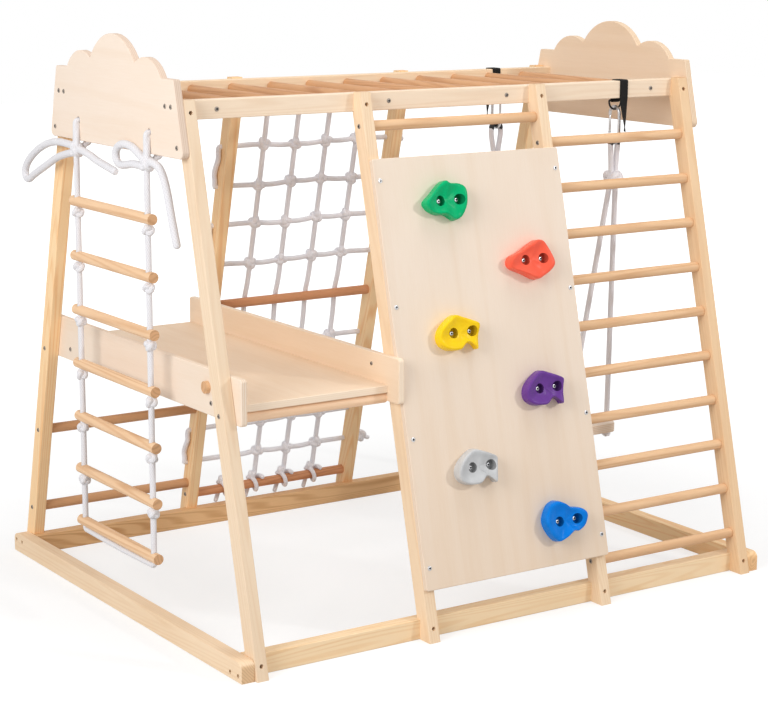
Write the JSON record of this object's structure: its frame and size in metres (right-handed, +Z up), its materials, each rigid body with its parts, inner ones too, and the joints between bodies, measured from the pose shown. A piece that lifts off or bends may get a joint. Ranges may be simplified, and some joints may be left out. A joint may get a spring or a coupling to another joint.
{
  "type": "indoor climbing frame",
  "caption": "Free-standing wooden indoor playset with monkey bars, deck, climbing wall with moulded holds, rope net, rung ladder, rope ladder and a swing.",
  "frame": {"origin": "middle of the base, on the floor", "axes": "+X along the frame from the deck's end to the swing's end, -Y the front with the climbing wall and the rung ladder, +Z up"},
  "size_m": [1.5223, 1.2162, 1.364],
  "materials": {
    "pine": "clear-lacquered softwood",
    "plywood": "clear-lacquered birch plywood",
    "beech": "clear-lacquered turned rods",
    "rope": "white laid rope",
    "webbing": "black woven webbing",
    "black_steel": "black-coated wire",
    "steel": "zinc-plated steel",
    "green_plastic": "moulded, slightly rough",
    "red_plastic": "moulded, slightly rough",
    "yellow_plastic": "moulded, slightly rough",
    "purple_plastic": "moulded, slightly rough",
    "grey_plastic": "moulded, slightly rough",
    "blue_plastic": "moulded, slightly rough"
  },
  "bodies": {
    "frame": {"front_leg_left": "pine", "front_leg_mid_left": "pine", "front_leg_mid_right": "pine", "front_leg_right": "pine", "back_leg_left": "pine", "back_leg_mid_left": "pine", "back_leg_mid_right": "pine", "back_leg_right": "pine", "front_top_rail": "pine", "back_top_rail": "pine", "front_base_rail": "pine", "back_base_rail": "pine", "left_base_rail": "pine", "right_base_rail": "pine", "deck_peg": "pine", "left_end_board": "plywood", "right_end_board": "plywood", "left_deck_board": "plywood", "right_deck_board": "plywood", "deck": "plywood", "climbing_wall": "plywood", "monkey_bars": "beech", "ladder_rungs": "beech", "front_cross_rung": "beech", "back_low_rung": "beech", "back_high_rung": "beech", "net_low_rung": "beech", "net_high_rung": "beech", "front_deck_dowel": "beech", "back_deck_dowel": "beech", "climbing_net": "rope", "left_ladder_tie": "rope", "right_ladder_tie": "rope", "left_bow": "rope", "right_bow": "rope", "front_swing_strap": "webbing", "back_swing_strap": "webbing", "front_ring": "black_steel", "back_ring": "black_steel", "leg_bolts": "steel", "base_bolts": "steel", "wall_screws": "steel", "frame_screws": "steel", "rung_screws": "steel", "green_hold": "green_plastic", "red_hold": "red_plastic", "yellow_hold": "yellow_plastic", "purple_hold": "purple_plastic", "grey_hold": "grey_plastic", "blue_hold": "blue_plastic"},
    "swing": {"front_carabiner": "steel", "back_carabiner": "steel", "front_swing_rope": "rope", "back_swing_rope": "rope", "swing_seat": "pine"},
    "front_gate": {"front_gate": "steel"},
    "back_gate": {"back_gate": "steel"},
    "rope_ladder": {"rope_ladder_rungs": "beech", "ladder_rope": "rope"}
  },
  "joints": [
    {"name": "swing_pivot", "type": "hinge", "parent": "frame", "child": "swing", "pos_m": [0.5375, 0, 1.1638], "axis": [0, 1, 0], "range_deg": [-45, 45]},
    {"name": "front_gate_hinge", "type": "hinge", "parent": "swing", "child": "front_gate", "pos_m": [0.5375, -0.23113, 1.0983], "axis": [1, 0, 0], "range_deg": [0, 25], "stiffness_Nm_per_rad": 0.1},
    {"name": "back_gate_hinge", "type": "hinge", "parent": "swing", "child": "back_gate", "pos_m": [0.5375, 0.23113, 1.0983], "axis": [-1, 0, 0], "range_deg": [0, 25], "stiffness_Nm_per_rad": 0.1},
    {"name": "rope_ladder_pivot", "type": "hinge", "parent": "frame", "child": "rope_ladder", "pos_m": [-0.7483, 0, 1.085], "axis": [0, 1, 0], "range_deg": [-3.5, 60]}
  ]
}
